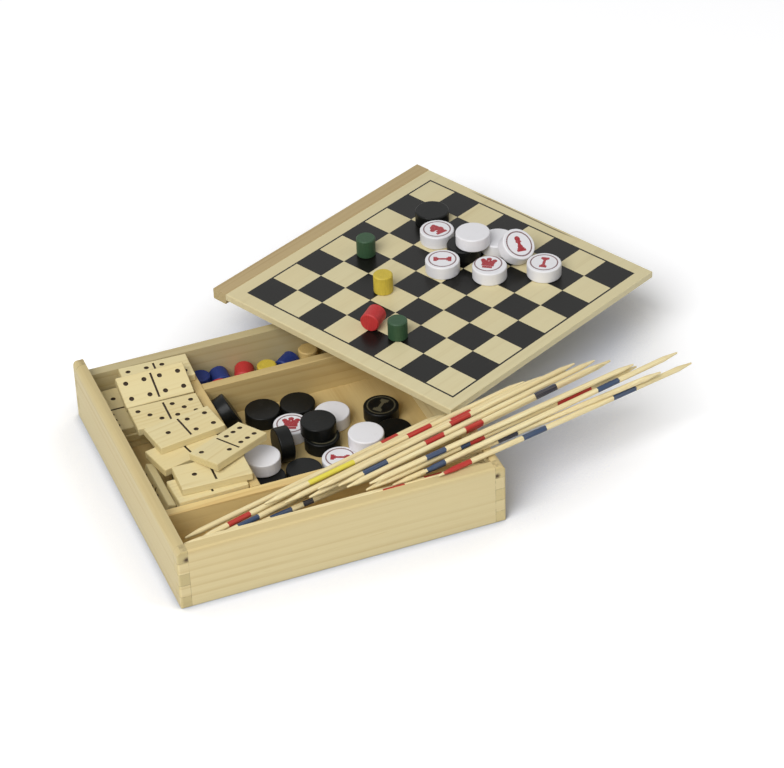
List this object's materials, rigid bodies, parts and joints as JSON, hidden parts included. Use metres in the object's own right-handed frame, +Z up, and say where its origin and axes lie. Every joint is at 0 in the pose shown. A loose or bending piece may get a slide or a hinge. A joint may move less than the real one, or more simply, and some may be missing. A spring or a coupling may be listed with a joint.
{
  "type": "games compendium box",
  "caption": "Square wooden games box with dividers and a chessboard lid laid across one side, holding dominoes, draughtsmen, pegs and pick-up sticks.",
  "frame": {"origin": "centre of the tray's underside", "axes": "+X to the right along the tray's front wall, +Y to its low rear wall, +Z up"},
  "size_m": [0.3241, 0.2866, 0.0579],
  "materials": {
    "tray_wood": "satin varnish",
    "divider_wood": "satin varnish",
    "nail_steel": "dull",
    "lid_wood": "gloss varnish",
    "strip_wood": "satin varnish",
    "domino_wood": "smooth, unvarnished",
    "disc_white": "painted, satin",
    "disc_black": "painted, gloss",
    "peg_green": "painted, satin",
    "peg_yellow": "painted, satin",
    "peg_red": "painted, satin",
    "peg_blue": "painted, satin",
    "peg_plain": "bare",
    "stick_wood": "bare, with painted bands"
  },
  "bodies": {
    "tray": {"base_panel": "tray_wood", "left_wall": "tray_wood", "right_wall": "tray_wood", "front_wall": "tray_wood", "rear_wall": "tray_wood", "corner_nails": "nail_steel", "stick_divider": "divider_wood", "domino_divider": "divider_wood", "token_divider": "divider_wood"},
    "lid": {"lid_board": "lid_wood", "lid_strip": "strip_wood"},
    "knight_disc": {"disc_white_knight": "disc_white"},
    "near_pawn_disc": {"disc_white_pawn_near": "disc_white"},
    "crown_disc": {"disc_white_crown": "disc_white"},
    "far_pawn_disc": {"disc_white_pawn_far": "disc_white"},
    "rear_black_disc": {"disc_black_lid_rear": "disc_black"},
    "lid_lower_discs": {"disc_black_lid_front": "disc_black", "disc_white_plain_low": "disc_white"},
    "lid_upper_disc": {"disc_white_plain_top": "disc_white"},
    "leaning_disc": {"disc_white_leaning": "disc_white"},
    "rear_green_peg": {"peg_green_rear": "peg_green"},
    "yellow_peg": {"peg_yellow": "peg_yellow"},
    "red_peg": {"peg_red": "peg_red"},
    "front_green_peg": {"peg_green_front": "peg_green"},
    "domino_base_tiles": {"dominoes_front_pile": "domino_wood", "dominoes_on_edge": "domino_wood", "domino_leaning": "domino_wood", "dominoes_back_stack": "domino_wood"},
    "domino_second_tiles": {"domino_pile_top": "domino_wood", "domino_crossing": "domino_wood", "domino_three_five": "domino_wood", "domino_four_two": "domino_wood"},
    "double_four_tile": {"domino_double_four": "domino_wood"},
    "one_four_tile": {"domino_one_four": "domino_wood"},
    "two_six_tile": {"domino_two_six": "domino_wood"},
    "prop_tiles": {"domino_prop_stack": "domino_wood"},
    "tray_floor_discs": {"discs_black_main": "disc_black", "discs_white_main": "disc_white", "disc_black_on_rim": "disc_black", "disc_black_leaning": "disc_black"},
    "tray_upper_black_disc": {"disc_black_upper": "disc_black"},
    "tray_upper_white_disc": {"disc_white_upper": "disc_white"},
    "tray_left_discs": {"disc_black_left": "disc_black", "disc_white_left": "disc_white"},
    "tray_right_discs": {"discs_black_right": "disc_black"},
    "tray_pegs": {"pegs_blue_in_tray": "peg_blue", "pegs_red_in_tray": "peg_red", "peg_yellow_in_tray": "peg_yellow", "peg_plain_in_tray": "peg_plain"},
    "inner_sticks": {"sticks_inner_low": "stick_wood", "sticks_inner_high": "stick_wood", "sticks_inner_front": "stick_wood"},
    "outer_sticks": {"sticks_outer_low": "stick_wood", "sticks_outer_mid": "stick_wood", "sticks_outer_high": "stick_wood", "sticks_outer_top": "stick_wood"}
  },
  "joints": [
    {"name": "lid_lift", "type": "slide", "parent": "tray", "child": "lid", "axis": [0, 0, 1], "range_m": [0, 0.06]},
    {"name": "knight_disc_lift", "type": "slide", "parent": "lid", "child": "knight_disc", "axis": [0, 0, 1], "range_m": [0, 0.04]},
    {"name": "near_pawn_disc_lift", "type": "slide", "parent": "lid", "child": "near_pawn_disc", "axis": [0, 0, 1], "range_m": [0, 0.04]},
    {"name": "crown_disc_lift", "type": "slide", "parent": "lid", "child": "crown_disc", "axis": [0, 0, 1], "range_m": [0, 0.04]},
    {"name": "far_pawn_disc_lift", "type": "slide", "parent": "lid", "child": "far_pawn_disc", "axis": [0, 0, 1], "range_m": [0, 0.04]},
    {"name": "rear_black_disc_lift", "type": "slide", "parent": "lid", "child": "rear_black_disc", "axis": [0, 0, 1], "range_m": [0, 0.04]},
    {"name": "lid_lower_discs_lift", "type": "slide", "parent": "lid", "child": "lid_lower_discs", "axis": [0, 0, 1], "range_m": [0, 0.04]},
    {"name": "rear_green_peg_lift", "type": "slide", "parent": "lid", "child": "rear_green_peg", "axis": [0, 0, 1], "range_m": [0, 0.04]},
    {"name": "yellow_peg_lift", "type": "slide", "parent": "lid", "child": "yellow_peg", "axis": [0, 0, 1], "range_m": [0, 0.04]},
    {"name": "red_peg_lift", "type": "slide", "parent": "lid", "child": "red_peg", "axis": [0, 0, 1], "range_m": [0, 0.04]},
    {"name": "front_green_peg_lift", "type": "slide", "parent": "lid", "child": "front_green_peg", "axis": [0, 0, 1], "range_m": [0, 0.04]},
    {"name": "lid_upper_disc_lift", "type": "slide", "parent": "lid_lower_discs", "child": "lid_upper_disc", "axis": [0, 0, 1], "range_m": [0, 0.03]},
    {"name": "leaning_disc_lift", "type": "slide", "parent": "lid_lower_discs", "child": "leaning_disc", "axis": [0, 0, 1], "range_m": [0, 0.03]},
    {"name": "domino_base_tiles_lift", "type": "slide", "parent": "tray", "child": "domino_base_tiles", "axis": [0, 0, 1], "range_m": [0, 0.04]},
    {"name": "domino_second_tiles_lift", "type": "slide", "parent": "domino_base_tiles", "child": "domino_second_tiles", "axis": [0, 0, 1], "range_m": [0, 0.03]},
    {"name": "double_four_tile_lift", "type": "slide", "parent": "domino_second_tiles", "child": "double_four_tile", "axis": [0, 0, 1], "range_m": [0, 0.03]},
    {"name": "one_four_tile_lift", "type": "slide", "parent": "domino_second_tiles", "child": "one_four_tile", "axis": [0, 0, 1], "range_m": [0, 0.03]},
    {"name": "two_six_tile_lift", "type": "slide", "parent": "domino_second_tiles", "child": "two_six_tile", "axis": [0, 0, 1], "range_m": [0, 0.03]},
    {"name": "prop_tiles_slide", "type": "slide", "parent": "tray", "child": "prop_tiles", "axis": [1, 0, 0], "range_m": [0, 0.09]},
    {"name": "tray_floor_discs_lift", "type": "slide", "parent": "tray", "child": "tray_floor_discs", "axis": [0, 0, 1], "range_m": [0, 0.03]},
    {"name": "tray_upper_black_disc_lift", "type": "slide", "parent": "tray_floor_discs", "child": "tray_upper_black_disc", "axis": [0, 0, 1], "range_m": [0, 0.02]},
    {"name": "tray_upper_white_disc_lift", "type": "slide", "parent": "tray_floor_discs", "child": "tray_upper_white_disc", "axis": [0, 0, 1], "range_m": [0, 0.02]},
    {"name": "tray_left_discs_lift", "type": "slide", "parent": "tray", "child": "tray_left_discs", "axis": [0, 0, 1], "range_m": [0, 0.007]},
    {"name": "tray_right_discs_lift", "type": "slide", "parent": "tray", "child": "tray_right_discs", "axis": [0, 0, 1], "range_m": [0, 0.02]},
    {"name": "tray_pegs_lift", "type": "slide", "parent": "tray", "child": "tray_pegs", "axis": [0, 0, 1], "range_m": [0, 0.018]},
    {"name": "inner_sticks_lift", "type": "slide", "parent": "tray", "child": "inner_sticks", "axis": [0, 0, 1], "range_m": [0, 0.004]},
    {"name": "outer_sticks_lift", "type": "slide", "parent": "inner_sticks", "child": "outer_sticks", "axis": [0, 0, 1], "range_m": [0, 0.04]}
  ]
}
